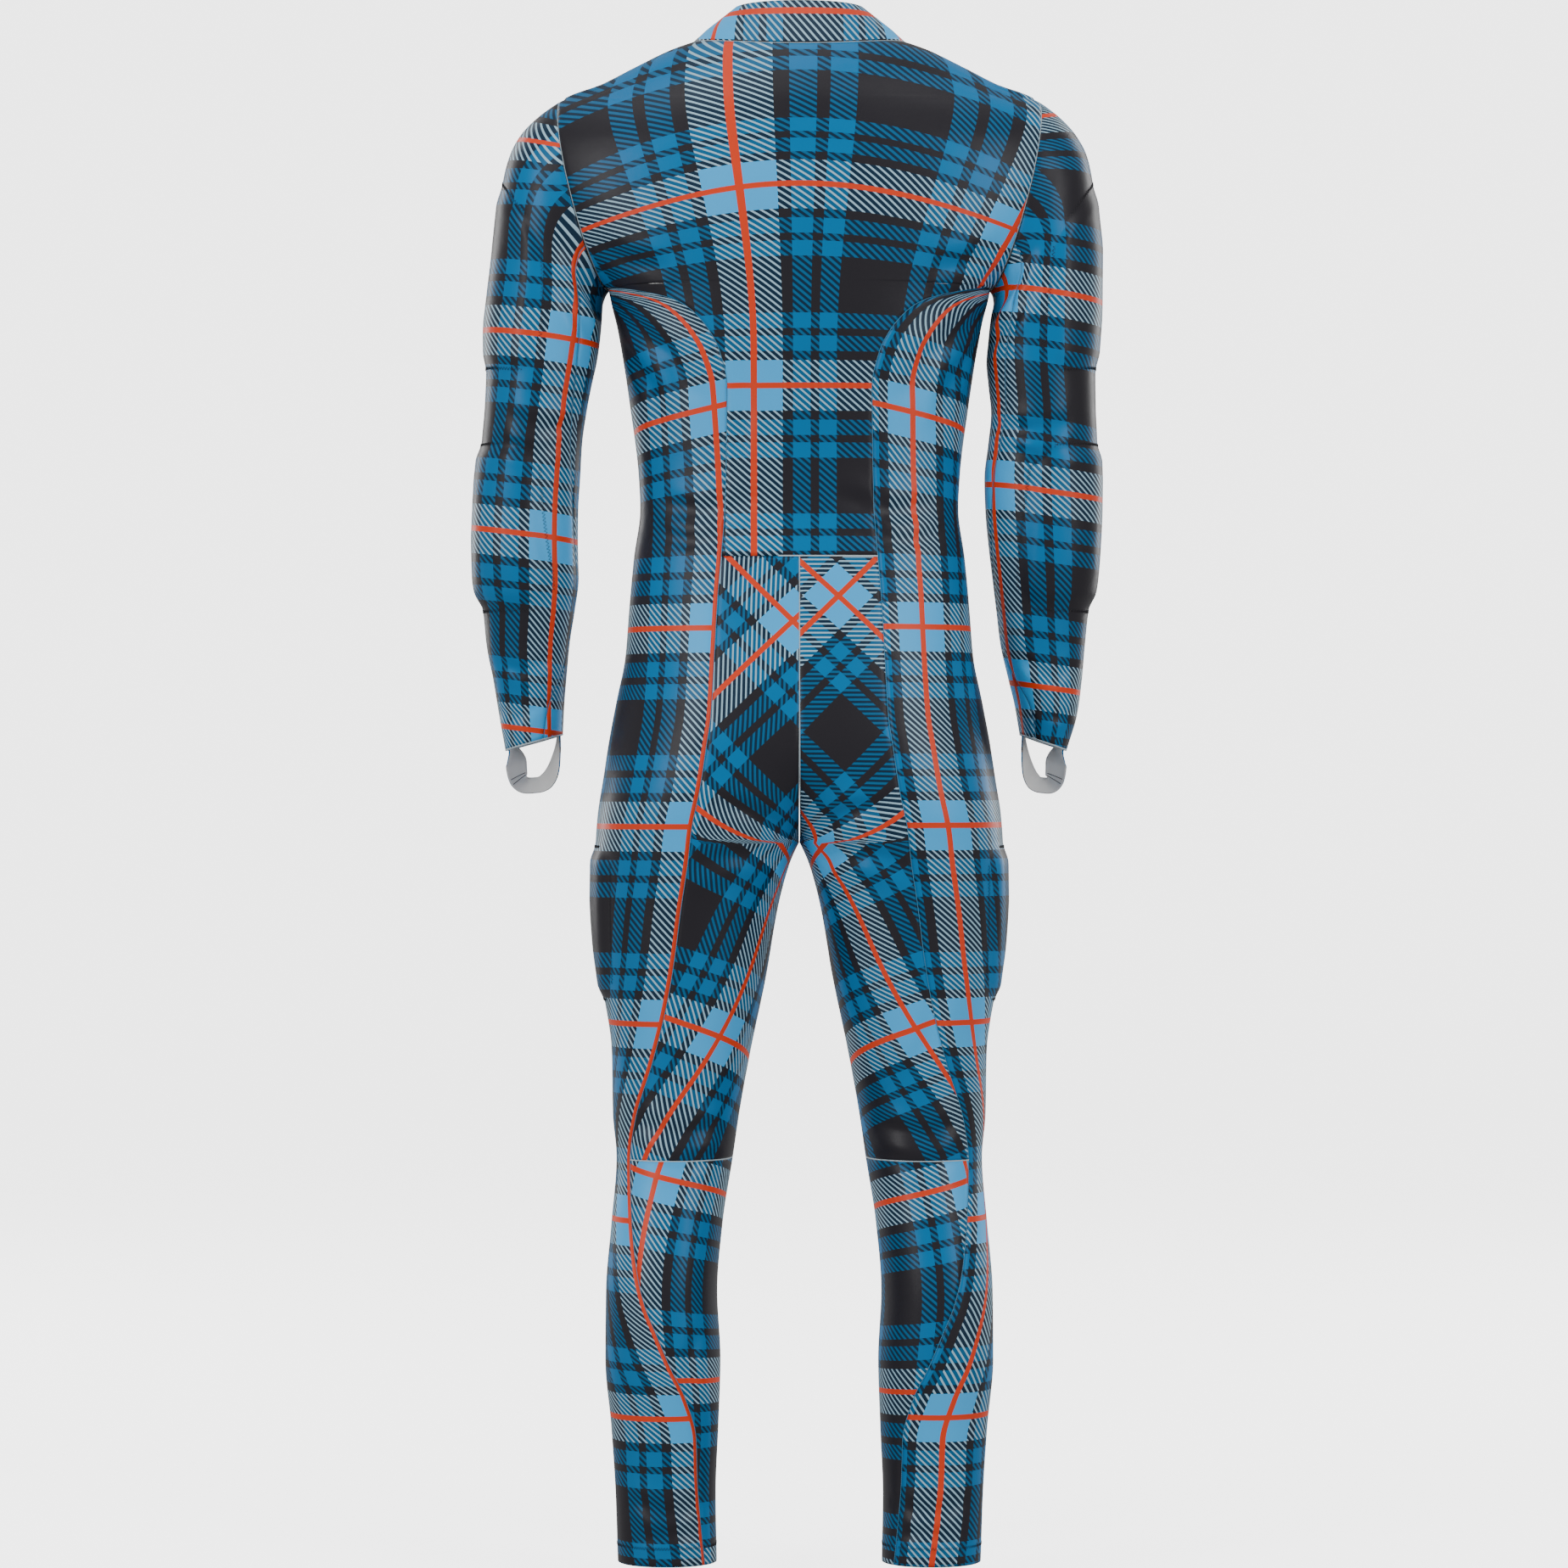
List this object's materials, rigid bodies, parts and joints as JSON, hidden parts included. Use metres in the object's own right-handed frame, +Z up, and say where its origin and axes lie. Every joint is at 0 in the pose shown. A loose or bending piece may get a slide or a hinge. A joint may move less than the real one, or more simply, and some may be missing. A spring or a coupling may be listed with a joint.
{
  "type": "ski race suit",
  "caption": "Padded one-piece ski race suit in its worn form, a close hollow shell of printed stretch cloth with a stand collar, a front zip and hand loops",
  "frame": {"origin": "Inside the neck, level with the top of the shoulders, on the centre line.", "axes": "+X towards the wearer's left, +Y out of the back, +Z up; the front zip faces -Y."},
  "size_m": [0.5968, 0.2465, 1.463],
  "materials": {
    "printed_cloth": "glossy printed stretch laminate in a blue, charcoal and white check with a thin orange overcheck",
    "pad_cover": "the same printed laminate, drawn over a foam pad",
    "grey_cloth": "matt light grey knit, the cloth's inner face",
    "zip_nylon": "black woven tape with a moulded coil",
    "zip_metal": "black enamelled die-cast zinc"
  },
  "bodies": {
    "suit": {"back": "printed_cloth", "side_left": "printed_cloth", "side_right": "printed_cloth", "front_left": "printed_cloth", "front_right": "printed_cloth", "back_leg_left": "printed_cloth", "back_leg_right": "printed_cloth", "calf_left": "printed_cloth", "calf_right": "printed_cloth", "upper_sleeve_left": "printed_cloth", "upper_sleeve_right": "printed_cloth", "under_sleeve_left": "printed_cloth", "under_sleeve_right": "printed_cloth", "collar": "printed_cloth", "upper_arm_pad_left": "pad_cover", "upper_arm_pad_right": "pad_cover", "forearm_pad_left": "pad_cover", "forearm_pad_right": "pad_cover", "thigh_pad_left": "pad_cover", "thigh_pad_right": "pad_cover", "shin_pad_left": "pad_cover", "shin_pad_right": "pad_cover", "hand_loop_left": "grey_cloth", "hand_loop_right": "grey_cloth", "zip_tape": "zip_nylon", "zip_slider": "zip_metal"},
    "pull_tab": {"zip_pull": "zip_metal"}
  },
  "joints": [
    {"name": "pull_hinge", "type": "hinge", "parent": "suit", "child": "pull_tab", "pos_m": [0, -0.06921, -0.01632], "axis": [-1, 0, 0], "range_deg": [0, 165]}
  ]
}
